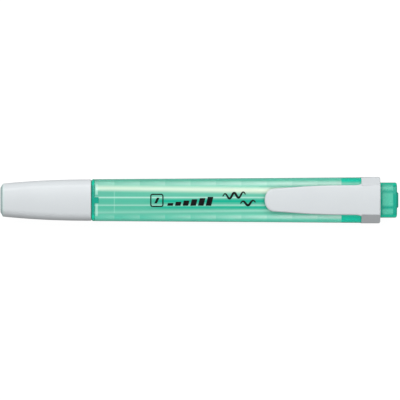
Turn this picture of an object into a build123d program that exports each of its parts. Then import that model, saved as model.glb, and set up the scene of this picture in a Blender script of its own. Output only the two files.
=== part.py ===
"""Slim pocket highlighter, lying on its back with the clip up. Millimetres.

+X runs from the cap to the rear plug, +Z is up through the clip, and the origin is on the resting
plane under the middle of the closed pen. The pen's axis is AXIS_HEIGHT above that plane.
"""

import os
from math import cos, radians, sin, sqrt

from build123d import *

# Driving dimensions: the closed pen along X, from the cap's button to the pad on the rear plug
LENGTH = 135.0
CAP_LENGTH = 30.1
CAP_GAP = 0.1
FLANGE_LENGTH = 1.0
BARREL_LENGTH = 90.5
COLLAR_LENGTH = 6.4
PAD_HEIGHT = 0.5
BUTTON_HEIGHT = 0.7

# Driving dimensions: the flat oval section of the barrel
THICKNESS = 11.4
FRONT_WIDTH = 14.26
REAR_WIDTH = 15.5
CORNER = 3.2
CROWN = 0.35
FRONT_RADIUS = 25.0
BACK_STOCK = 0.02
WALL = 1.1

# Driving dimensions: the neck and the rear knob share one section, so that the cap fits on both
NECK_WIDTH = 11.95
NECK_THICKNESS = 9.05
NECK_CORNER = 2.4
NECK_CROWN = 0.25
NECK_LENGTH = 5.6
SLIDE_CLEARANCE = 0.075
FIT_CLEARANCE = 0.03

# Stations along X
CAP_END = BUTTON_HEIGHT - LENGTH / 2
CAP_MOUTH = CAP_END + CAP_LENGTH
FLANGE_FRONT = CAP_MOUTH + CAP_GAP
BARREL_FRONT = FLANGE_FRONT + FLANGE_LENGTH
BARREL_SHOULDER = BARREL_FRONT + BARREL_LENGTH
COLLAR_REAR = BARREL_SHOULDER + COLLAR_LENGTH
KNOB_END = LENGTH / 2 - PAD_HEIGHT
LIP_LENGTH = 1.0
BARREL_REAR = COLLAR_REAR - LIP_LENGTH
AXIS_HEIGHT = THICKNESS / 2

# Barrel: cavity in bays, ribs that centre the reservoir, and a spigot for the collar
SKIRT_LENGTH = 6.8
SKIRT_REAR = BARREL_FRONT + SKIRT_LENGTH
SKIRT_WIDTH = FRONT_WIDTH - 2 * WALL - 0.2
CAVITY_THICKNESS = THICKNESS - 2 * WALL
CAVITY_CORNER = 2.2
BAYS = 9
BAY_STEP = 0.3
RIB_CENTRE = -0.45
RIB_SPACING = 2.65
RIB_WIDTH = 0.5
RIB_REACH = 4.15
SIDE_RIB_REACH = 4.25
KEY_WIDTH = 1.9
KEY_LENGTH = 1.45
RIM_CHAMFER = 0.25
FLANGE_ROUNDING = 0.65
COLLAR_WIDTH = 15.76
COLLAR_WALL = 0.7
SPIGOT_WIDTH = COLLAR_WIDTH - 2 * COLLAR_WALL - 2 * FIT_CLEARANCE
SPIGOT_THICKNESS = THICKNESS - 2 * COLLAR_WALL - 2 * FIT_CLEARANCE
SPIGOT_CORNER = 2.6

# Ink system
NOSE_RADIUS = 3.55
NOSE_TIP_RADIUS = 3.3
NOSE_TIP = FLANGE_FRONT - 14.9
SEAL_LENGTH = 4.2
NECK_FRONT = FLANGE_FRONT - NECK_LENGTH
NIB_WIDTH = 5.0
NIB_THICKNESS = 3.6
NIB_CORNER = 0.7
NIB_TIP = NOSE_TIP - 7.0
WEDGE_LENGTH = 4.2
WEDGE_THICKNESS = 1.2
SLANT_ANGLE = 28
STEM_START = NOSE_TIP + 13.5
STEM_RADIUS = 1.6
RESERVOIR_RADIUS = 4.0
RESERVOIR_FRONT = BARREL_FRONT + 1.7
STEM_END = RESERVOIR_FRONT + 8.4
FILM_INNER_RADIUS = 4.03
FILM_RADIUS = 4.1

# Rear plug
PLUG_LENGTH = 18.95
PLUG_WIDTH = 13.0
PLUG_THICKNESS = 8.5
PLUG_WALL = 1.2
PLUG_CORNER = 1.4
KNOB_WALL = 1.7
PLUG_RIB_OFFSET = 2.75
PLUG_RIB_WIDTH = 0.6
PAD_THICKNESS = 5.0
PAD_CORNER = 1.2
PLUG_FRONT = KNOB_END - PLUG_LENGTH
RESERVOIR_REAR = PLUG_FRONT - 1.25

# Clip
CLIP_TOP = 13.8
CLIP_TIP_TOP = 13.5
TONGUE_TIP = BARREL_SHOULDER - 32.8
TONGUE_TIP_HALF_WIDTH = 3.9
TONGUE_TIP_LENGTH = 3.4
TONGUE_ROOT_HALF_WIDTH = 5.05
TONGUE_THICKNESS = 1.5
TONGUE_ROUNDING = 0.5
FLARE_LENGTH = 2.0
FLARE = 0.5
PLATEAU_HALF_WIDTH = 4.95
PLATEAU_RADIUS = 50.0
PLATEAU_ROUNDING = 0.35
FOOT_ROUNDING = 1.0
FACET_FOOT = 9.2
FACET_HALF_WIDTH = 7.7
COLLAR_ROUNDING = 0.5
FLEXURE = BARREL_SHOULDER - 1.4
RIDGE_LENGTH = 2.4
RIDGE_CLEARANCE = 0.35

# Cap
CAP_WIDTH = 14.03
CAP_THICKNESS = 11.15
CAP_END_WIDTH = 11.2
CAP_END_THICKNESS = 9.05
CAP_CORNER = 3.0
CAP_TAPER_POWER = 2.2
CAP_STATIONS = 5
CAP_WALL = 0.9
CAP_INNER_CORNER = 2.2
CAP_END_ROUNDING = 0.2
SOCKET_REAR = CAP_MOUTH - NECK_LENGTH - 0.4
LINER_FRONT = CAP_END + CAP_WALL
LINER_REAR = SOCKET_REAR - 0.5
LINER_BORE = NOSE_RADIUS + 0.05
LINER_END_WALL = 1.3
LINER_POCKET_DEPTH = 14.0
STEM_HOLE_WIDTH = 8.3
STEM_HOLE_THICKNESS = 5.6
STEM_HOLE_CORNER = 1.8
BUTTON_INSET = 0.22
BUTTON_SLOPE = 1.1
BUTTON_ROUNDING = 0.35


def across(x):
    """Plane across the pen at station x, on its axis: local x is +Y and local y is +Z."""
    return Plane(origin=(x, 0, AXIS_HEIGHT), x_dir=(0, 1, 0), z_dir=(1, 0, 0))


def oval(x, width, thickness, corner=CORNER, crown=CROWN):
    """Section at station x: flat back, gently crowned front, and narrow sides that bow out by crown."""
    half_width = width / 2 - crown
    back = -thickness / 2
    front = thickness / 2
    front_edge = front - FRONT_RADIUS + sqrt(FRONT_RADIUS**2 - half_width**2)
    with BuildSketch(across(x)) as section:
        with BuildLine():
            ThreePointArc((-half_width, front_edge), (0, front), (half_width, front_edge))
            ThreePointArc((half_width, front_edge), (width / 2, 0), (half_width, back))
            Line((half_width, back), (-half_width, back))
            ThreePointArc((-half_width, back), (-width / 2, 0), (-half_width, front_edge))
        make_face()
        fillet(section.vertices(), radius=corner)
    return section.sketch


def disc(x, radius):
    """Round section at station x."""
    with BuildSketch(across(x)) as section:
        Circle(radius)
    return section.sketch


def bar(x, y, z, width, height):
    """Rectangular section at station x, centred y and z away from the pen's axis."""
    with BuildSketch(across(x)) as section:
        with Locations((y, z)):
            Rectangle(width, height)
    return section.sketch


def rounded_bar(x, y, width, height, corner):
    """Rectangular section with round corners at station x, centred y away from the pen's axis."""
    with BuildSketch(across(x)) as section:
        with Locations((y, 0)):
            RectangleRounded(width, height, corner)
    return section.sketch


def barrel_width(x):
    """Outer width of the barrel, which widens evenly towards the clip."""
    return FRONT_WIDTH + (REAR_WIDTH - FRONT_WIDTH) * (x - BARREL_FRONT) / BARREL_LENGTH


def neck_section(x, extra=0.0):
    """Section shared by the neck and the rear knob, grown by extra on every side."""
    return oval(x, NECK_WIDTH + 2 * extra, NECK_THICKNESS + 2 * extra, NECK_CORNER, NECK_CROWN)


def plug_section(x, inset=0.0):
    """Section of the rear plug's socket, drawn in by inset on every side."""
    return oval(x, PLUG_WIDTH - 2 * inset, PLUG_THICKNESS - 2 * inset, CAVITY_CORNER, NECK_CROWN)


def skirt_section(x, inset=0.0):
    """Section of the nib holder's socket, drawn in by inset on every side."""
    return oval(x, SKIRT_WIDTH - 2 * inset, CAVITY_THICKNESS - 2 * inset, CAVITY_CORNER, NECK_CROWN)


def cap_section(x, wall=0.0, corner=CAP_CORNER):
    """Section of the cap, which tapers more and more towards its closed end, less a wall."""
    taper = (1 - (x - CAP_END) / CAP_LENGTH) ** CAP_TAPER_POWER
    width = CAP_WIDTH - (CAP_WIDTH - CAP_END_WIDTH) * taper
    thickness = CAP_THICKNESS - (CAP_THICKNESS - CAP_END_THICKNESS) * taper
    return oval(x, width - 2 * wall, thickness - 2 * wall, corner, NECK_CROWN)


def button_section(x, inset):
    """Section of the button at station x: the cap's end section, drawn in by inset on every side."""
    width = CAP_END_WIDTH - 2 * inset
    thickness = CAP_END_THICKNESS - 2 * inset
    return oval(x, width, thickness, CAP_CORNER - inset, NECK_CROWN)


def stations(start, end, count):
    """Evenly spaced stations from start to end."""
    return [start + (end - start) * index / (count - 1) for index in range(count)]


# Barrel, drawn a little thick and then cut flat across its back
with BuildPart() as barrel:
    loft([
        oval(BARREL_FRONT, FRONT_WIDTH, THICKNESS + 2 * BACK_STOCK),
        oval(BARREL_SHOULDER, REAR_WIDTH, THICKNESS + 2 * BACK_STOCK),
    ])
    split(bisect_by=Plane.XY)
    chamfer(barrel.faces().sort_by(Axis.X)[0].edges(), length=RIM_CHAMFER)
    extrude(
        oval(BARREL_SHOULDER, SPIGOT_WIDTH, SPIGOT_THICKNESS, SPIGOT_CORNER),
        amount=BARREL_REAR - BARREL_SHOULDER,
    )
    extrude(skirt_section(BARREL_FRONT), amount=SKIRT_LENGTH, mode=Mode.SUBTRACT)
    extrude(plug_section(PLUG_FRONT), amount=BARREL_REAR - PLUG_FRONT, mode=Mode.SUBTRACT)
    # In each bay of the cavity the side walls thin towards the rear, then step back in
    bay_length = (PLUG_FRONT - SKIRT_REAR) / BAYS
    for bay in range(BAYS):
        start = SKIRT_REAR + bay * bay_length
        end = start + bay_length
        start_width = barrel_width(start) - 2 * WALL - 2 * BAY_STEP * (bay + 1) / BAYS
        end_width = barrel_width(end) - 2 * WALL
        loft(
            [
                oval(start, start_width, CAVITY_THICKNESS, CAVITY_CORNER, NECK_CROWN),
                oval(end, end_width, CAVITY_THICKNESS, CAVITY_CORNER, NECK_CROWN),
            ],
            mode=Mode.SUBTRACT,
        )
    # Thin ribs, in pairs on the broad walls and one on each side wall
    rib_height = CAVITY_THICKNESS / 2 + 0.2 - RIB_REACH
    side_rib_height = barrel_width(0) / 2 - WALL + 0.3 - SIDE_RIB_REACH
    for side in (-1, 1):
        for broad in (-1, 1):
            rib = bar(
                SKIRT_REAR + 0.1,
                RIB_CENTRE + side * RIB_SPACING / 2,
                broad * (RIB_REACH + rib_height / 2),
                RIB_WIDTH,
                rib_height,
            )
            extrude(rib, amount=PLUG_FRONT - SKIRT_REAR - 0.1)
        side_rib = bar(
            SKIRT_REAR + 0.3,
            side * (SIDE_RIB_REACH + side_rib_height / 2),
            0,
            side_rib_height,
            RIB_WIDTH,
        )
        extrude(side_rib, amount=PLUG_FRONT - SKIRT_REAR - 0.6)
    # Notches in the front rim for the nib holder's two keys
    for broad in (-1, 1):
        notch = bar(BARREL_FRONT, 0, broad * THICKNESS / 2, KEY_WIDTH + 0.1, 2 * WALL + 0.2)
        extrude(notch, amount=KEY_LENGTH + 0.05, mode=Mode.SUBTRACT)
barrel.part.label = "barrel"

# Nib holder: flange between cap and barrel, keyed skirt inside the barrel, neck, seal and nose
with BuildPart() as nib_holder:
    extrude(oval(FLANGE_FRONT, FRONT_WIDTH, THICKNESS), amount=FLANGE_LENGTH)
    fillet(nib_holder.faces().sort_by(Axis.X)[0].edges(), radius=FLANGE_ROUNDING)
    extrude(skirt_section(BARREL_FRONT, FIT_CLEARANCE), amount=SKIRT_LENGTH - 0.1)
    key_height = WALL + 0.2
    for broad in (-1, 1):
        key = bar(BARREL_FRONT, 0, broad * (THICKNESS - key_height) / 2, KEY_WIDTH, key_height)
        extrude(key, amount=KEY_LENGTH)
    extrude(neck_section(NECK_FRONT), amount=NECK_LENGTH)
    fillet(nib_holder.faces().sort_by(Axis.X)[0].edges(), radius=0.4)
    extrude(neck_section(NECK_FRONT + 1.8, 0.04), amount=0.9)
    extrude(disc(NECK_FRONT - SEAL_LENGTH, NOSE_RADIUS), amount=SEAL_LENGTH + 0.5)
    loft([disc(NOSE_TIP, NOSE_TIP_RADIUS), disc(NECK_FRONT - SEAL_LENGTH, NOSE_RADIUS)])
    fillet(nib_holder.faces().sort_by(Axis.X)[0].edges(), radius=0.3)
    # Bore for the reservoir, slot for the nib, hole for its stem, and two air channels
    extrude(disc(RESERVOIR_FRONT - 0.1, FILM_RADIUS + 0.1), amount=SKIRT_LENGTH, mode=Mode.SUBTRACT)
    nib_slot = rounded_bar(
        NOSE_TIP,
        0,
        NIB_WIDTH + 2 * FIT_CLEARANCE,
        NIB_THICKNESS + 2 * FIT_CLEARANCE,
        NIB_CORNER,
    )
    extrude(nib_slot, amount=STEM_START - NOSE_TIP + 0.1, mode=Mode.SUBTRACT)
    extrude(disc(STEM_START, STEM_RADIUS + 0.1), amount=5.0, mode=Mode.SUBTRACT)
    for broad in (-1, 1):
        channel = bar(NOSE_TIP, 0, broad * NIB_THICKNESS / 2, 0.6, 0.8)
        extrude(channel, amount=STEM_START - NOSE_TIP, mode=Mode.SUBTRACT)
    # Pockets that core out the neck on either side
    for side in (-1, 1):
        pocket = rounded_bar(NECK_FRONT + 1.2, side * 4.1, 1.4, 4.8, 0.5)
        extrude(pocket, amount=RESERVOIR_FRONT - NECK_FRONT - 1.0, mode=Mode.SUBTRACT)
nib_holder.part.label = "nib_holder"

# Chisel nib: a flat fibre bar ground to a slanted wedge, with a round stem in the reservoir
with BuildPart() as chisel_nib:
    extrude(
        rounded_bar(NIB_TIP, 0, NIB_WIDTH, NIB_THICKNESS, NIB_CORNER),
        amount=STEM_START - NIB_TIP,
    )
    loft([disc(STEM_START, STEM_RADIUS), disc(STEM_END, STEM_RADIUS / 2)])
    for broad in (-1, 1):
        with BuildSketch(Plane.XZ.offset(-NIB_WIDTH)):
            with BuildLine():
                Polyline(
                    (NIB_TIP - 1, AXIS_HEIGHT + broad * WEDGE_THICKNESS / 2),
                    (NIB_TIP + WEDGE_LENGTH, AXIS_HEIGHT + broad * NIB_THICKNESS / 2),
                    (NIB_TIP + WEDGE_LENGTH, AXIS_HEIGHT + broad * NIB_THICKNESS),
                    (NIB_TIP - 1, AXIS_HEIGHT + broad * NIB_THICKNESS),
                    close=True,
                )
            make_face()
        extrude(amount=2 * NIB_WIDTH, mode=Mode.SUBTRACT)
    slant = radians(SLANT_ANGLE)
    split(
        bisect_by=Plane(
            origin=(NIB_TIP, -NIB_WIDTH / 2, AXIS_HEIGHT),
            z_dir=(cos(slant), -sin(slant), 0),
        )
    )
chisel_nib.part.label = "chisel_nib"

# Ink reservoir: a fibre rod with the hole that the nib's stem has pushed into it
with BuildPart() as ink_reservoir:
    extrude(disc(RESERVOIR_FRONT, RESERVOIR_RADIUS), amount=RESERVOIR_REAR - RESERVOIR_FRONT)
    chamfer(ink_reservoir.edges().filter_by(GeomType.CIRCLE), length=0.25)
    extrude(
        disc(RESERVOIR_FRONT, STEM_RADIUS),
        amount=STEM_END - RESERVOIR_FRONT + 0.1,
        mode=Mode.SUBTRACT,
    )
ink_reservoir.part.label = "ink_reservoir"

# Clear film wrapped round the reservoir
with BuildPart() as reservoir_film:
    film_front = RESERVOIR_FRONT + 0.3
    film_length = RESERVOIR_REAR - 0.3 - film_front
    extrude(disc(film_front, FILM_RADIUS), amount=film_length)
    extrude(disc(film_front, FILM_INNER_RADIUS), amount=film_length, mode=Mode.SUBTRACT)
reservoir_film.part.label = "reservoir_film"

# Rear plug: skirt in the barrel, knob that the cap posts on, two ribs and a raised end pad
with BuildPart() as rear_plug:
    extrude(plug_section(PLUG_FRONT, FIT_CLEARANCE), amount=BARREL_REAR - PLUG_FRONT)
    extrude(neck_section(BARREL_REAR), amount=KNOB_END - BARREL_REAR)
    fillet(rear_plug.faces().sort_by(Axis.X)[-1].edges(), radius=0.6)
    extrude(rounded_bar(KNOB_END, 0, 2 * PLUG_RIB_OFFSET, PAD_THICKNESS, PAD_CORNER), amount=PAD_HEIGHT)
    chamfer(rear_plug.faces().sort_by(Axis.X)[-1].edges(), length=PAD_HEIGHT - 0.1)
    hollow = oval(
        PLUG_FRONT,
        NECK_WIDTH - 2 * PLUG_WALL,
        PLUG_THICKNESS - 2 * PLUG_WALL,
        PLUG_CORNER,
        NECK_CROWN,
    )
    extrude(hollow, amount=KNOB_END - KNOB_WALL - PLUG_FRONT, mode=Mode.SUBTRACT)
    # The ribs run on past the skirt and stop the reservoir
    plug_rib_height = PLUG_THICKNESS - 2 * PLUG_WALL + 0.4
    for side in (-1, 1):
        extrude(
            bar(RESERVOIR_REAR + 0.05, side * PLUG_RIB_OFFSET, 0, PLUG_RIB_WIDTH, plug_rib_height),
            amount=KNOB_END - KNOB_WALL - RESERVOIR_REAR + 0.2,
        )
rear_plug.part.label = "rear_plug"


def crown_drop(y):
    """How far the clip's crowned top has dropped at a distance y from its middle."""
    return PLATEAU_RADIUS - sqrt(PLATEAU_RADIUS**2 - y**2)


def collar_section():
    """Section of the collar: the barrel's flat back and sides, then two facets up to a plateau."""
    back_half_width = COLLAR_WIDTH / 2 - CROWN
    facet_foot = FACET_FOOT - AXIS_HEIGHT
    plateau = CLIP_TOP - AXIS_HEIGHT
    plateau_edge = plateau - crown_drop(PLATEAU_HALF_WIDTH)
    with BuildSketch(across(BARREL_SHOULDER)) as section:
        with BuildLine():
            Line((-back_half_width, -AXIS_HEIGHT), (back_half_width, -AXIS_HEIGHT))
            ThreePointArc(
                (back_half_width, -AXIS_HEIGHT),
                (COLLAR_WIDTH / 2, -0.8),
                (FACET_HALF_WIDTH, facet_foot),
            )
            Line((FACET_HALF_WIDTH, facet_foot), (PLATEAU_HALF_WIDTH, plateau_edge))
            ThreePointArc(
                (PLATEAU_HALF_WIDTH, plateau_edge),
                (0, plateau),
                (-PLATEAU_HALF_WIDTH, plateau_edge),
            )
            Line((-PLATEAU_HALF_WIDTH, plateau_edge), (-FACET_HALF_WIDTH, facet_foot))
            ThreePointArc(
                (-FACET_HALF_WIDTH, facet_foot),
                (-COLLAR_WIDTH / 2, -0.8),
                (-back_half_width, -AXIS_HEIGHT),
            )
        make_face()
        # The sketch's own Y axis points up
        fillet(section.vertices().group_by(Axis.Y)[0], radius=CORNER)
        fillet(section.vertices().group_by(Axis.Y)[-1], radius=PLATEAU_ROUNDING)
        feet = section.vertices().filter_by_position(Axis.Y, facet_foot - 0.01, facet_foot + 0.01)
        fillet(feet, radius=FOOT_ROUNDING)
    return section.sketch


def tongue_outline():
    """The tongue from above, from its tip to its flared root at the collar."""
    tip_end = TONGUE_TIP + TONGUE_TIP_LENGTH
    flare = BARREL_SHOULDER - FLARE_LENGTH
    with BuildSketch(Plane.XY.offset(AXIS_HEIGHT)) as outline:
        with BuildLine():
            Bezier(
                (TONGUE_TIP, 0),
                (TONGUE_TIP, TONGUE_TIP_HALF_WIDTH * 0.6),
                (TONGUE_TIP + TONGUE_TIP_LENGTH * 0.4, TONGUE_TIP_HALF_WIDTH),
                (tip_end, TONGUE_TIP_HALF_WIDTH),
            )
            Spline(
                (tip_end, TONGUE_TIP_HALF_WIDTH),
                ((tip_end + flare) / 2, TONGUE_TIP_HALF_WIDTH + 0.9),
                (flare, TONGUE_ROOT_HALF_WIDTH),
                tangents=((1, 0.07), (1, 0)),
            )
            Bezier(
                (flare, TONGUE_ROOT_HALF_WIDTH),
                (flare + FLARE_LENGTH / 2, TONGUE_ROOT_HALF_WIDTH),
                (BARREL_SHOULDER, TONGUE_ROOT_HALF_WIDTH + FLARE),
            )
            Polyline(
                (BARREL_SHOULDER, TONGUE_ROOT_HALF_WIDTH + FLARE),
                (BARREL_SHOULDER, 0),
                (TONGUE_TIP, 0),
            )
        make_face()
        mirror(about=Plane.XZ)
    return outline.sketch


def tongue_slab():
    """Section across the tongue's root, wider than the tongue, with its gently crowned top."""
    half_width = COLLAR_WIDTH / 2
    top = CLIP_TOP - AXIS_HEIGHT
    edge = top - crown_drop(half_width)
    bottom = top - TONGUE_THICKNESS
    with BuildSketch(across(BARREL_SHOULDER)) as slab:
        with BuildLine():
            ThreePointArc((-half_width, edge), (0, top), (half_width, edge))
            Polyline(
                (half_width, edge),
                (half_width, bottom),
                (-half_width, bottom),
                (-half_width, edge),
            )
        make_face()
    return slab.sketch


def clip_tongue_blank():
    """The clip's tongue up to the collar, rounded along the upper edge."""
    with BuildPart() as blank:
        extrude(tongue_outline(), amount=CLIP_TOP)
        # The tongue stands clear of the barrel and comes down a little towards its tip
        towards_tip = Vector(TONGUE_TIP - BARREL_SHOULDER, 0, CLIP_TIP_TOP - CLIP_TOP)
        extrude(tongue_slab(), amount=towards_tip.length, dir=towards_tip, mode=Mode.INTERSECT)
        upper_edges = blank.faces().sort_by(Axis.Z)[-1].edges()
        fillet(upper_edges.sort_by(Axis.X)[:-1], radius=TONGUE_ROUNDING)
    return blank.part


# Clip collar: a ring round the barrel's spigot, its faceted plateau, and the root of the tongue
with BuildPart() as clip_collar:
    extrude(collar_section(), amount=COLLAR_LENGTH)
    fillet(clip_collar.faces().sort_by(Axis.X)[-1].edges(), radius=COLLAR_ROUNDING)
    add(clip_tongue_blank())
    split(bisect_by=Plane(origin=(FLEXURE, 0, 0), z_dir=(1, 0, 0)))
    extrude(
        oval(
            BARREL_SHOULDER,
            SPIGOT_WIDTH + 2 * FIT_CLEARANCE,
            SPIGOT_THICKNESS + 2 * FIT_CLEARANCE,
            SPIGOT_CORNER,
        ),
        amount=COLLAR_LENGTH - LIP_LENGTH,
        mode=Mode.SUBTRACT,
    )
    extrude(
        neck_section(BARREL_SHOULDER, SLIDE_CLEARANCE),
        amount=COLLAR_LENGTH,
        mode=Mode.SUBTRACT,
    )
clip_collar.part.label = "clip_collar"

# Clip tongue: it bends at the flexure, a line across its root just ahead of the collar
with BuildPart() as clip_tongue:
    add(clip_tongue_blank())
    split(bisect_by=Plane(origin=(FLEXURE, 0, 0), z_dir=(-1, 0, 0)))
    # Low ridge under the tip that grips the pocket
    ridge_middle = TONGUE_TIP + TONGUE_TIP_LENGTH + RIDGE_LENGTH / 2
    ridge_top = CLIP_TIP_TOP - TONGUE_THICKNESS + 0.4
    with BuildSketch(Plane.XZ.offset(-TONGUE_TIP_HALF_WIDTH + 0.5)):
        with BuildLine():
            ThreePointArc(
                (ridge_middle - RIDGE_LENGTH / 2, ridge_top),
                (ridge_middle, THICKNESS + RIDGE_CLEARANCE),
                (ridge_middle + RIDGE_LENGTH / 2, ridge_top),
            )
            Line(
                (ridge_middle + RIDGE_LENGTH / 2, ridge_top),
                (ridge_middle - RIDGE_LENGTH / 2, ridge_top),
            )
        make_face()
    extrude(amount=2 * TONGUE_TIP_HALF_WIDTH - 1.0)
clip_tongue.part.label = "clip_tongue"

# Cap shell: tapered, open at the mouth for the neck and at the end for the inner cap's stem
with BuildPart() as cap_shell:
    loft([cap_section(x) for x in stations(CAP_END, CAP_MOUTH, CAP_STATIONS)])
    fillet(cap_shell.faces().sort_by(Axis.X)[0].edges(), radius=CAP_END_ROUNDING)
    fillet(cap_shell.faces().sort_by(Axis.X)[-1].edges(), radius=0.3)
    extrude(
        neck_section(SOCKET_REAR, SLIDE_CLEARANCE),
        amount=CAP_MOUTH - SOCKET_REAR,
        mode=Mode.SUBTRACT,
    )
    loft(
        [
            cap_section(x, CAP_WALL, CAP_INNER_CORNER)
            for x in stations(LINER_FRONT, SOCKET_REAR, CAP_STATIONS)
        ],
        mode=Mode.SUBTRACT,
    )
    extrude(
        rounded_bar(CAP_END, 0, STEM_HOLE_WIDTH, STEM_HOLE_THICKNESS, STEM_HOLE_CORNER),
        amount=CAP_WALL + 0.1,
        mode=Mode.SUBTRACT,
    )
cap_shell.part.label = "cap_shell"

# Inner cap: a liner that seals round the nib holder's nose. It is moulded through a hole in the
# cap's end, which its button covers.
with BuildPart() as inner_cap:
    liner_wall = CAP_WALL + FIT_CLEARANCE
    loft([
        cap_section(x, liner_wall, CAP_INNER_CORNER)
        for x in stations(LINER_FRONT + FIT_CLEARANCE, LINER_REAR, CAP_STATIONS)
    ])
    stem = rounded_bar(
        -LENGTH / 2,
        0,
        STEM_HOLE_WIDTH - 2 * FIT_CLEARANCE,
        STEM_HOLE_THICKNESS - 2 * FIT_CLEARANCE,
        STEM_HOLE_CORNER,
    )
    extrude(stem, amount=BUTTON_HEIGHT + CAP_WALL + 0.3)
    loft([
        button_section(-LENGTH / 2, BUTTON_INSET + BUTTON_SLOPE),
        button_section(CAP_END - FIT_CLEARANCE, BUTTON_INSET),
    ])
    fillet(inner_cap.faces().sort_by(Axis.X)[0].edges(), radius=BUTTON_ROUNDING)
    bore_front = LINER_FRONT + LINER_END_WALL
    extrude(disc(bore_front, LINER_BORE), amount=LINER_REAR - bore_front, mode=Mode.SUBTRACT)
    for side in (-1, 1):
        pocket = rounded_bar(LINER_REAR - LINER_POCKET_DEPTH, side * 4.6, 1.1, 4.6, 0.45)
        extrude(pocket, amount=LINER_POCKET_DEPTH, mode=Mode.SUBTRACT)
inner_cap.part.label = "inner_cap"

os.makedirs("parts", exist_ok=True)
for piece in (
    barrel,
    nib_holder,
    chisel_nib,
    ink_reservoir,
    reservoir_film,
    rear_plug,
    clip_collar,
    clip_tongue,
    cap_shell,
    inner_cap,
):
    export_step(piece.part, f"parts/{piece.part.label}.step")
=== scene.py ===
"""Looks for a slim translucent pocket highlighter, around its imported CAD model. Metres."""

from math import cos, pi, radians, sin

import bmesh
import bpy
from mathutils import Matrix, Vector
from mathutils.bvhtree import BVHTree


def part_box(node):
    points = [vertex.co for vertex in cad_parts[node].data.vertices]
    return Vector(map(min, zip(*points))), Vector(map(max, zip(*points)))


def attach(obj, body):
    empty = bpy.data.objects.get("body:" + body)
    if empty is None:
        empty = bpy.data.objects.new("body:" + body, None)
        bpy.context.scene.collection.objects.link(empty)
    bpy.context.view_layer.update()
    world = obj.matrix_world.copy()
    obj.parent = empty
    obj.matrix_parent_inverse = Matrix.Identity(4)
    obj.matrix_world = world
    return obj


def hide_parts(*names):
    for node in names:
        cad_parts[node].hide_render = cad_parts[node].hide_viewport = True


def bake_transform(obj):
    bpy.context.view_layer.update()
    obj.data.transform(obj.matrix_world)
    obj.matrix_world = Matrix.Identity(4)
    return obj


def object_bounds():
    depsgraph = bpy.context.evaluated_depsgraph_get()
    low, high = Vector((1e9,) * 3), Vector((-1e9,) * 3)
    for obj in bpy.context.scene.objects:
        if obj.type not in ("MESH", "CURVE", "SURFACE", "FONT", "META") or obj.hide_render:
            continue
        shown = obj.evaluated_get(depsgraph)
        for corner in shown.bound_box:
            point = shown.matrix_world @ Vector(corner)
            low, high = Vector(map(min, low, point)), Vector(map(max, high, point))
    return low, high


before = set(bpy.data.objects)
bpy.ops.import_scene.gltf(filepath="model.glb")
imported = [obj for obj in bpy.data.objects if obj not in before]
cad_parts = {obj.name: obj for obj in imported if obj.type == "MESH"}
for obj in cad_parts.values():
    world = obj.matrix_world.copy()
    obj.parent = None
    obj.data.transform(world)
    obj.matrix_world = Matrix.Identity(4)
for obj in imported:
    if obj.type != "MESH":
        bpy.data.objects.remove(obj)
cad_low, cad_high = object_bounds()

MM = 0.001

# Places along the pen in millimetres, from the frame
BARREL_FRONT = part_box("barrel")[0].x / MM
PLUG_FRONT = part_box("rear_plug")[0].x / MM
PLUG_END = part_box("rear_plug")[1].x / MM
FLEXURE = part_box("clip_collar")[0].x / MM
COLLAR_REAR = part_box("clip_collar")[1].x / MM
CAP_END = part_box("cap_shell")[0].x / MM
BAYS_FRONT = BARREL_FRONT + 6.8
BAY_PITCH = 8.6
CORE_START = BAYS_FRONT + 9.0
CORE_FULL = BAYS_FRONT + 18.0

# The rows across the clip's root and the print, in millimetres
BEND_START = 46.0
BEND_LENGTH = 7.9
BEND_ROWS = 14
ICON_CENTRE = (-14.4, -0.1)
ICON_HALF_SIZE = 2.05
BARS_START = -10.9
BARS_FOOT = -1.9
BARS = 6
BAR_PITCH = 2.6
BAR_LENGTH = 1.9
PRINT_LOW = -3.0
PRINT_ROW = 0.4
PRINT_ROWS = 17
PRINT_LIFT = 0.02
PRINT_THICKNESS = 0.01

# The floor, the lights and the camera's view, in metres
FLOOR_SIZE = 6
FLOOR_GAP = 0.05 * MM
LIGHT_DISTANCE = 0.9
LIGHT_LENGTH = 1.4
VIEW_WIDTH = 135.85 * MM
VIEW_CENTRE = Vector((0.2 * MM, 0.03 * MM, 5.7 * MM))

# Linear colours
GREY = (0.67, 0.705, 0.725, 1)
GREY_WORN = (0.61, 0.64, 0.66, 1)
GREY_GREENED = (0.6, 0.76, 0.74, 1)
TEAL = (0.13, 0.55, 0.405, 1)
TEAL_LIGHT = (0.148, 0.59, 0.435, 1)
TEAL_CORE = (0.002, 0.49, 0.32, 1)
TEAL_PAINTED_LIGHT = (0.15, 0.84, 0.63, 1)
TEAL_SKIRT = (0.002, 0.68, 0.47, 1)
TEAL_SOLID = (0.001, 0.28, 0.193, 1)
TEAL_DEEP = (0.001, 0.26, 0.18, 1)
TEAL_RIM = (0.001, 0.46, 0.29, 1)
TEAL_HOLLOW = (0.066, 0.4, 0.285, 1)
MILKY = (0.54, 0.72, 0.69, 1)
MILKY_SHADE = (0.49, 0.67, 0.64, 1)
PALE = (0.58, 0.91, 0.79, 1)
CREAM = (0.91, 0.95, 0.79, 1)
TINT = (0.05, 0.85, 0.66, 1)
INK_BLACK = (0.003, 0.003, 0.003, 1)
INK_THIN = (0.009, 0.01, 0.01, 1)
RESERVOIR = (0.16, 0.98, 0.78, 1)
RESERVOIR_SHADE = (0.1, 0.9, 0.68, 1)
NIB = (0.06, 0.52, 0.38, 1)
NIB_SHADE = (0.03, 0.4, 0.3, 1)
FILM = (0.93, 1, 0.98, 1)
FLOOR_BOUNCE = (0.4, 0.4, 0.4, 1)
FLOOR_SEEN = (0.14, 0.14, 0.14, 1)

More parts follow.
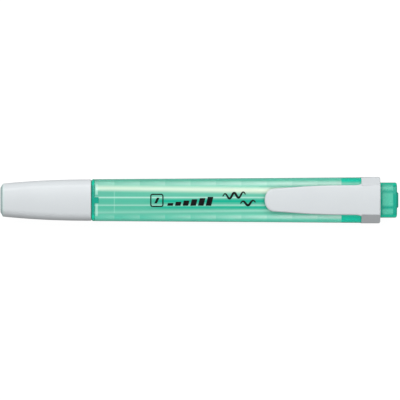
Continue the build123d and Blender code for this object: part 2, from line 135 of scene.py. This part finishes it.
# Pale bands down the barrel's stepped sides: centre and half width across it in millimetres, how much
# paler each bay gets along its length, and the paleness at the front and at the rear
SIDE_BANDS = ((5.68, 1.2, 0.28, 0.32, 0.95), (-5.75, 1.12, 0.35, -0.08, 0.8))


class Nodes:
    """One material's node tree. Values are numbers or sockets, and methods return sockets.

    The sockets x, y and z hold the place on the object in millimetres.
    """

    def __init__(self, name):
        self.material = bpy.data.materials.new(name)
        self.material.use_nodes = True
        self.tree = self.material.node_tree
        self.tree.nodes.clear()
        self.place = self.add("ShaderNodeTexCoord").outputs["Object"]
        split = self.add("ShaderNodeSeparateXYZ")
        self.plug(split.inputs[0], self.vector("MULTIPLY", self.place, (1 / MM, 1 / MM, 1 / MM)))
        self.x, self.y, self.z = split.outputs

    def add(self, kind):
        return self.tree.nodes.new(kind)

    def plug(self, socket, value):
        """Links a socket to the input, or sets a plain value on it."""
        if isinstance(value, bpy.types.NodeSocket):
            self.tree.links.new(value, socket)
        elif value is not None:
            socket.default_value = value

    def math(self, operation, *values):
        node = self.add("ShaderNodeMath")
        node.operation = operation
        for socket, value in zip(node.inputs, values):
            self.plug(socket, value)
        return node.outputs[0]

    def vector(self, operation, a, b):
        node = self.add("ShaderNodeVectorMath")
        node.operation = operation
        self.plug(node.inputs[0], a)
        self.plug(node.inputs[1], b)
        return node.outputs[0]

    def fade(self, value, low, high, to_low=0.0, to_high=1.0):
        """A smooth step from to_low, where value is low, to to_high, where it is high."""
        node = self.add("ShaderNodeMapRange")
        node.interpolation_type = "SMOOTHSTEP"
        for socket, number in zip(node.inputs, (value, low, high, to_low, to_high)):
            self.plug(socket, number)
        return node.outputs[0]

    def stripe(self, value, centre, half_width):
        """1 where value is centre, falling smoothly to 0 at half_width from it."""
        away = self.math("ABSOLUTE", self.math("SUBTRACT", value, centre))
        return self.fade(away, 0.0, half_width, 1.0, 0.0)

    def window(self, value, low, high, soft):
        """1 where value is between low and high, and 0 outside, over a soft margin."""
        rise = self.fade(value, low - soft, low + soft)
        fall = self.fade(value, high - soft, high + soft, 1.0, 0.0)
        return self.math("MULTIPLY", rise, fall)

    def mix(self, factor, a, b):
        node = self.add("ShaderNodeMix")
        node.data_type = "RGBA"
        self.plug(node.inputs[0], factor)
        self.plug(node.inputs[6], a)
        self.plug(node.inputs[7], b)
        return node.outputs[2]

    def paint(self, color, tone, *factors):
        """Color with tone laid over it, as strongly as the product of the factors."""
        strength = factors[0]
        for factor in factors[1:]:
            strength = self.math("MULTIPLY", strength, factor)
        return self.mix(strength, color, tone)

    def noise(self, scale, detail=2.0, stretch=(1, 1, 1)):
        """Noise from 0 to 1. Its scale is in cycles per metre, before the stretch."""
        node = self.add("ShaderNodeTexNoise")
        node.inputs["Scale"].default_value = scale
        node.inputs["Detail"].default_value = detail
        self.plug(node.inputs["Vector"], self.vector("MULTIPLY", self.place, stretch))
        return node.outputs["Fac"]

    def bump(self, height, strength, distance):
        node = self.add("ShaderNodeBump")
        node.inputs["Strength"].default_value = strength
        node.inputs["Distance"].default_value = distance
        self.plug(node.inputs["Height"], height)
        return node.outputs[0]

    def finish(self, color, roughness, ior=1.5, specular=0.5, transmission=0.0, normal=None,
               absorption=None):
        """Ends the tree in a Principled shader, round an absorbing volume if one is given."""
        shader = self.add("ShaderNodeBsdfPrincipled")
        output = self.add("ShaderNodeOutputMaterial")
        self.plug(shader.inputs["Base Color"], color)
        self.plug(shader.inputs["Roughness"], roughness)
        self.plug(shader.inputs["Normal"], normal)
        shader.inputs["IOR"].default_value = ior
        shader.inputs["Specular IOR Level"].default_value = specular
        shader.inputs["Transmission Weight"].default_value = transmission
        self.plug(output.inputs["Surface"], shader.outputs[0])
        if absorption:
            volume = self.add("ShaderNodeVolumeAbsorption")
            volume.inputs["Color"].default_value, volume.inputs["Density"].default_value = absorption
            self.plug(output.inputs["Volume"], volume.outputs[0])
        return self.material


def grey_plastic():
    """Pale grey moulded plastic with a fine satin texture."""
    m = Nodes("grey_plastic")
    color = m.mix(m.fade(m.noise(90, 3), 0.35, 0.75, 0.0, 0.16), GREY, GREY_WORN)
    # The coloured liner shows faintly through the thin closed end of the cap
    color = m.mix(m.fade(m.x, CAP_END, CAP_END + 1.0, 0.7, 0.0), color, GREY_GREENED)
    roughness = m.fade(m.noise(400, 4), 0.3, 0.7, 0.3, 0.38)
    return m.finish(color, roughness, normal=m.bump(m.noise(5200), 0.12, 0.05 * MM))


def barrel_stripes(m, color, along):
    """Painted reflections as pale lines along the ribs, and the reservoir as a dark core, in stripes
    along the barrel.
    """
    deeper = m.fade(m.x, CORE_START, CORE_FULL)
    # Centre of a painted reflection below the highlight, drifting along the barrel
    lower_reflection_line = m.math("MULTIPLY_ADD", m.x, 0.011, -3.82)
    # Centre, half width, colour, where it changes, and strength at the front and at the rear
    stripes = (
        (-0.36, 1.15, TEAL_CORE, deeper, 0.3, 1.0),
        (-2.5, 1.0, TEAL_CORE, deeper, 0.35, 0.95),
        # Painted reflections: pale lines along the ribs, and a weaker pale band below the highlight
        (0.88, 0.45, PALE, along, 0.85, 0.75),
        (-1.74, 0.42, PALE, along, 0.5, 0.6),
        (lower_reflection_line, 0.7, PALE, along, 0.25, 0.42),
    )
    for centre, half_width, tone, place, at_front, at_rear in stripes:
        strength = m.fade(place, 0.0, 1.0, at_front, at_rear)
        color = m.paint(color, tone, m.stripe(m.y, centre, half_width), strength)
    return color


def barrel_bands(m, color, sawtooth):
    """The stepped side walls from the front: they get paler along each bay and towards the rear."""
    for centre, half_width, step, at_front, at_rear in SIDE_BANDS:
        ramp = m.fade(m.x, BAYS_FRONT, PLUG_FRONT, at_front, at_rear)
        paleness = m.math("MULTIPLY_ADD", sawtooth, step, ramp)
        color = m.paint(color, PALE, m.stripe(m.y, centre, half_width), paleness)
    return color


def barrel_highlight(m, color, along):
    """A soft highlight that drifts inwards and widens towards the rear."""
    centre = m.math("MULTIPLY_ADD", m.x, -0.015, 3.56)
    half_width = m.math("MULTIPLY_ADD", m.x, 0.003, 1.58)
    start = m.fade(m.x, BARREL_FRONT + 0.3, BARREL_FRONT + 1.1)
    strength = m.fade(along, 0.0, 1.0, 0.66, 0.9)
    return m.paint(color, CREAM, m.stripe(m.y, centre, half_width), start, strength)


def barrel_front(m, color):
    """Light gathers at both ends of the nib holder's skirt, on either side of its key."""
    rim = m.window(m.x, BARREL_FRONT + 0.4, BARREL_FRONT + 1.2, 0.2)
    sides = m.math("ADD", m.window(m.y, 1.8, 5.5, 0.3), m.window(m.y, -5.4, -1.3, 0.3))
    color = m.paint(color, PALE, rim, sides, 0.6)
    return m.paint(color, PALE, m.stripe(m.x, BAYS_FRONT, 0.3), m.window(m.y, -4.3, 3.0, 0.4), 0.25)


def barrel_walls(m, color, sawtooth):
    """Painted light on the rounded corners, which are painted bright, with the bays and the reservoir
    between them from the side.
    """
    from_middle = m.math("ABSOLUTE", m.y)
    # Painted light: the rounded corners are painted paler
    color = m.mix(m.fade(from_middle, 6.4, 7.3, 0.0, 0.8), color, TEAL_PAINTED_LIGHT)
    wall = m.math("MULTIPLY", m.fade(from_middle, 6.7, 7.0), m.window(m.z, 2.2, 8.9, 0.5))
    color = m.paint(color, PALE, wall, sawtooth, 0.24)
    return m.paint(color, TEAL_CORE, wall, m.window(m.z, 3.6, 7.6, 0.9), 0.4)


def barrel_plastic():
    """Translucent tinted tube: its ribs and bays and the reservoir show in it as long stripes, with
    painted light laid over them: reflections along the ribs, a highlight, and paler corners and far side.
    """
    m = Nodes("clear_tinted_plastic")
    along = m.fade(m.x, BARREL_FRONT, FLEXURE)
    # 0 to 1 along each bay, towards the rear
    sawtooth = m.math("FRACT", m.math("DIVIDE", m.math("SUBTRACT", m.x, BAYS_FRONT), BAY_PITCH))
    color = m.mix(m.fade(m.noise(60, 2, (0.3, 6, 1)), 0.3, 0.7), TEAL, TEAL_LIGHT)
    # Painted light: the side away from the lamps is painted paler, for the light that the tube passes on
    # from its lit side
    color = m.mix(m.fade(m.y, -6.2, -4.2, 0.45, 0.0), color, TEAL_PAINTED_LIGHT)
    color = barrel_stripes(m, color, along)
    color = barrel_bands(m, color, sawtooth)
    color = barrel_highlight(m, color, along)
    color = barrel_front(m, color)
    color = barrel_walls(m, color, sawtooth)
    # The plug's skirt fills the barrel in front of the collar
    skirt = m.paint(TEAL_SKIRT, PALE, m.stripe(m.y, 5.6, 1.0), 0.35)
    color = m.mix(m.fade(m.x, PLUG_FRONT + 1.0, PLUG_FRONT + 1.5), color, skirt)
    roughness = m.fade(m.noise(300, 3, (0.2, 1, 1)), 0.3, 0.7, 0.1, 0.17)
    return m.finish(color, roughness, ior=1.47, specular=0.3, transmission=0.42, absorption=(TINT, 40))


def solid_plastic():
    """Deep tinted plastic, lighter where the knob is hollow."""
    m = Nodes("tinted_plastic")
    hollow = m.math("MULTIPLY", m.window(m.x, COLLAR_REAR + 0.7, PLUG_END - 1.9, 0.2),
                    m.window(m.y, -4.9, 5.3, 0.3))
    # Two ribs cross the hollow
    for centre in (-2.5, 2.9):
        hollow = m.math("MULTIPLY", hollow, m.math("SUBTRACT", 1.0, m.stripe(m.y, centre, 1.0)))
    deep = m.mix(m.fade(m.noise(150, 3), 0.3, 0.7), TEAL_SOLID, TEAL_DEEP)
    deep = m.mix(m.fade(m.math("ABSOLUTE", m.y), 4.7, 5.4, 0.0, 1.0), deep, TEAL_RIM)
    color = m.mix(hollow, deep, TEAL_HOLLOW)
    roughness = m.fade(m.noise(500, 3), 0.3, 0.7, 0.22, 0.3)
    return m.finish(color, roughness, ior=1.47, specular=0.3, transmission=0.06, absorption=(TINT, 150))


def liner_plastic():
    """Pale milky plastic of the inner cap."""
    m = Nodes("pale_tinted_plastic")
    color = m.mix(m.fade(m.noise(200, 3), 0.3, 0.7), MILKY, MILKY_SHADE)
    roughness = m.fade(m.noise(500, 3), 0.3, 0.7, 0.3, 0.4)
    return m.finish(color, roughness, transmission=0.15, absorption=(TINT, 60))


def fibre(name, color, shade):
    """Ink-soaked bundle of fibres that run along the pen."""
    m = Nodes(name)
    strands = m.noise(900, 3, (0.08, 1, 1))
    tone = m.mix(m.fade(strands, 0.3, 0.7), shade, color)
    return m.finish(tone, 0.85, normal=m.bump(strands, 0.5, 0.1 * MM))


def clear_film():
    """Thin clear wrap with faint streaks."""
    m = Nodes("clear_film")
    streaks = m.fade(m.noise(400, 2, (0.05, 1, 1)), 0.3, 0.7, 0.06, 0.12)
    return m.finish(FILM, streaks, ior=1.45, transmission=0.9)


def print_ink():
    """Matt black printing ink, a little uneven."""
    m = Nodes("print_ink")
    color = m.mix(m.fade(m.noise(2500, 3), 0.35, 0.75), INK_BLACK, INK_THIN)
    return m.finish(color, m.fade(m.noise(1200, 2), 0.3, 0.7, 0.5, 0.65), specular=0.1)


def dress(node_name, material):
    """Gives a CAD node one material."""
    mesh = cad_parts[node_name].data
    mesh.materials.clear()
    mesh.materials.append(material)


def new_object(name, mesh, material):
    """A mesh object in the scene, from a bmesh."""
    data = bpy.data.meshes.new(name)
    mesh.to_mesh(data)
    mesh.free()
    data.materials.append(material)
    piece = bpy.data.objects.new(name, data)
    bpy.context.scene.collection.objects.link(piece)
    return piece


def clip_moulding(material):
    """The clip in one piece, as it is moulded: the collar and the tongue joined at the flexure."""
    mesh = bmesh.new()
    for node_name in ("clip_collar", "clip_tongue"):
        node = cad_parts[node_name]
        data = node.data.copy()
        data.transform(node.matrix_world)
        mesh.from_mesh(data)
    cut = [
        face for face in mesh.faces
        if all(abs(vertex.co.x - FLEXURE * MM) < 0.001 * MM for vertex in face.verts)
    ]
    bmesh.ops.delete(mesh, geom=cut, context="FACES")
    bmesh.ops.remove_doubles(mesh, verts=mesh.verts[:], dist=0.002 * MM)
    # Flat areas become single faces, so that the extra rows leave no marks in the shading
    flat = radians(0.2)
    bmesh.ops.dissolve_limit(mesh, angle_limit=flat, verts=mesh.verts[:], edges=mesh.edges[:])
    # Extra rows across the root of the tongue, where the clip flexes
    for row in range(BEND_ROWS):
        everything = mesh.verts[:] + mesh.edges[:] + mesh.faces[:]
        place = ((BEND_START + row * BEND_LENGTH / (BEND_ROWS - 1)) * MM, 0, 0)
        bmesh.ops.bisect_plane(mesh, geom=everything, dist=0.001 * MM, plane_co=place, plane_no=(1, 0, 0))
    bmesh.ops.remove_doubles(mesh, verts=mesh.verts[:], dist=0.002 * MM)
    clip = new_object("clip", mesh, material)
    clip.data.shade_smooth()
    clip.data.set_sharp_from_angle(angle=radians(35))
    weighted = clip.modifiers.new("weighted_normals", "WEIGHTED_NORMAL")
    weighted.keep_sharp = True
    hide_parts("clip_collar", "clip_tongue")
    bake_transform(clip)


def stroke(points, widths):
    """Left and right edges of a ribbon along points, all in millimetres on the barrel's front."""
    left, right = [], []
    for index, (x, y) in enumerate(points):
        before = points[max(index - 1, 0)]
        after = points[min(index + 1, len(points) - 1)]
        along = Vector((after[0] - before[0], after[1] - before[1])).normalized()
        side = Vector((-along.y, along.x)) * widths[index] / 2
        left.append((x + side.x, y + side.y))
        right.append((x - side.x, y - side.y))
    return left, right


def wave(start, end, height, width, turns, count=40):
    """A hand-drawn looking wavy stroke, thin at both ends."""
    points, widths = [], []
    for index in range(count + 1):
        part = index / count
        x = start[0] + (end[0] - start[0]) * part
        y = start[1] + (end[1] - start[1]) * part
        points.append((x, y + height * sin(2 * pi * turns * part)))
        widths.append(width * (0.45 + 0.55 * sin(pi * part)))
    return stroke(points, widths)


def rounded_square(centre, half_size, corner, width, count=8):
    """A closed ribbon round a square with round corners."""
    points = []
    for quarter in range(4):
        for step in range(count + 1):
            angle = (quarter + step / count) * pi / 2
            inner = half_size - corner
            x = centre[0] + inner * (1 if quarter in (0, 3) else -1) + corner * cos(angle)
            y = centre[1] + inner * (1 if quarter in (0, 1) else -1) + corner * sin(angle)
            points.append((x, y))
    points.append(points[0])
    points.append(points[1])
    left, right = stroke(points, [width] * len(points))
    return left[1:], right[1:]


def slanted_bar(x, y, length, height, slant):
    """A solid bar with slanted ends."""
    return [(x, y), (x + slant, y + height)], [(x + length, y), (x + length + slant, y + height)]


def marks():
    """A tip icon, a row of growing bars and two pen strokes, as ribbons on a flat sheet."""
    icon_x, icon_y = ICON_CENTRE
    ribbons = [
        rounded_square(ICON_CENTRE, ICON_HALF_SIZE, 0.6, 0.42),
        slanted_bar(icon_x - 0.9, icon_y - 1.0, 0.9, 1.9, 0.9),
        wave((7.9, 1.2), (15.6, 1.9), 0.9, 0.8, 2.5),
        wave((13.9, -1.2), (19.0, -0.8), 0.75, 0.8, 1.5),
    ]
    for index in range(BARS):
        height = 0.9 + 0.42 * index
        start = BARS_START + BAR_PITCH * index
        ribbons.append(slanted_bar(start, BARS_FOOT, BAR_LENGTH, height, height / 4))
    return ribbons


def print_marks(material):
    """Plain marks where the pen is printed, laid on the barrel's curved front."""
    mesh = bmesh.new()
    for left, right in marks():
        rows = [[mesh.verts.new((x * MM, y * MM, 0)) for x, y in edge] for edge in (left, right)]
        for index in range(len(left) - 1):
            corners = (rows[0][index], rows[1][index], rows[1][index + 1], rows[0][index + 1])
            mesh.faces.new(corners)
    bmesh.ops.remove_doubles(mesh, verts=mesh.verts[:], dist=0.001 * MM)
    for row in range(PRINT_ROWS):
        everything = mesh.verts[:] + mesh.edges[:] + mesh.faces[:]
        place = (0, (PRINT_LOW + row * PRINT_ROW) * MM, 0)
        bmesh.ops.bisect_plane(mesh, geom=everything, dist=0.001 * MM, plane_co=place, plane_no=(0, 1, 0))
    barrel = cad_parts["barrel"]
    corners = [barrel.matrix_world @ vertex.co for vertex in barrel.data.vertices]
    surface = BVHTree.FromPolygons(corners, [list(face.vertices) for face in barrel.data.polygons])
    for face in mesh.faces:
        if face.normal.z < 0:
            face.normal_flip()
    for vertex in mesh.verts:
        above = Vector((vertex.co.x, vertex.co.y, cad_high.z))
        vertex.co = surface.ray_cast(above, Vector((0, 0, -1)))[0]
        vertex.co.z += PRINT_LIFT * MM
    bmesh.ops.solidify(mesh, geom=mesh.faces[:], thickness=PRINT_THICKNESS * MM)
    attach(new_object("print_marks", mesh, material), "pen")


def floor():
    """White ground. The camera sees it nearly evenly lit, and the pen gets a soft grey bounce."""
    bpy.ops.mesh.primitive_plane_add(size=FLOOR_SIZE)
    plane = bpy.context.object
    plane.name = "floor"
    plane.location.z = -FLOOR_GAP
    m = Nodes("floor_white")
    bounce = m.add("ShaderNodeBsdfDiffuse")
    bounce.inputs["Color"].default_value = FLOOR_BOUNCE
    ground = m.add("ShaderNodeBsdfDiffuse")
    ground.inputs["Color"].default_value = FLOOR_SEEN
    glow = m.add("ShaderNodeEmission")
    glow.inputs["Strength"].default_value = 0.95
    lit = m.add("ShaderNodeAddShader")
    m.plug(lit.inputs[0], ground.outputs[0])
    m.plug(lit.inputs[1], glow.outputs[0])
    path = m.add("ShaderNodeLightPath")
    seen = m.math("MAXIMUM", path.outputs["Is Camera Ray"], path.outputs["Is Transmission Ray"])
    choice = m.add("ShaderNodeMixShader")
    m.plug(choice.inputs[0], seen)
    m.plug(choice.inputs[1], bounce.outputs[0])
    m.plug(choice.inputs[2], lit.outputs[0])
    output = m.add("ShaderNodeOutputMaterial")
    m.plug(output.inputs["Surface"], choice.outputs[0])
    plane.data.materials.append(m.material)


def softbox(name, tilt, breadth, power):
    """A rectangular light, long in X, moved round from overhead towards +Y by tilt degrees."""
    data = bpy.data.lights.new(name, "AREA")
    data.shape = "RECTANGLE"
    data.size = LIGHT_LENGTH
    data.size_y = breadth
    data.energy = power
    light = bpy.data.objects.new(name, data)
    light.location = (0, LIGHT_DISTANCE * sin(radians(tilt)), LIGHT_DISTANCE * cos(radians(tilt)))
    light.rotation_euler = (-radians(tilt), 0, 0)
    bpy.context.scene.collection.objects.link(light)
    return light


def studio():
    """Dim even room, one broad softbox, one narrow strip and a fill for the tinted pieces."""
    world = bpy.data.worlds.new("studio")
    world.use_nodes = True
    background = world.node_tree.nodes["Background"]
    background.inputs["Color"].default_value = (1, 1, 1, 1)
    background.inputs["Strength"].default_value = 0.43
    bpy.context.scene.world = world
    softbox("softbox", 33, 0.5, 6.7)
    softbox("strip", 17, 0.06, 1.2)
    # Light that the white room sends through the tinted pieces, without a reflection of its own
    fill = softbox("tinted_fill", -28, 0.7, 7.0)
    fill.visible_glossy = False
    tinted = bpy.data.collections.new("tinted_pieces")
    for node_name in ("barrel", "nib_holder", "rear_plug", "ink_reservoir"):
        tinted.objects.link(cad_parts[node_name])
    fill.light_linking.receiver_collection = tinted


def camera():
    """Straight down on the pen, from far off through a long lens."""
    data = bpy.data.cameras.new("camera")
    data.lens = 500
    data.sensor_width = 36
    eye = bpy.data.objects.new("camera", data)
    distance = VIEW_WIDTH * data.lens / data.sensor_width
    eye.location = VIEW_CENTRE + Vector((0, 0, distance))
    bpy.context.scene.collection.objects.link(eye)
    bpy.context.scene.camera = eye


grey = grey_plastic()
solid = solid_plastic()
dress("cap_shell", grey)
dress("inner_cap", liner_plastic())
dress("nib_holder", solid)
dress("rear_plug", solid)
dress("barrel", barrel_plastic())
dress("ink_reservoir", fibre("reservoir_fibre", RESERVOIR, RESERVOIR_SHADE))
dress("chisel_nib", fibre("nib_fibre", NIB, NIB_SHADE))
dress("reservoir_film", clear_film())
clip_moulding(grey)
print_marks(print_ink())

floor()
studio()
camera()
bpy.context.scene.view_settings.view_transform = "Standard"
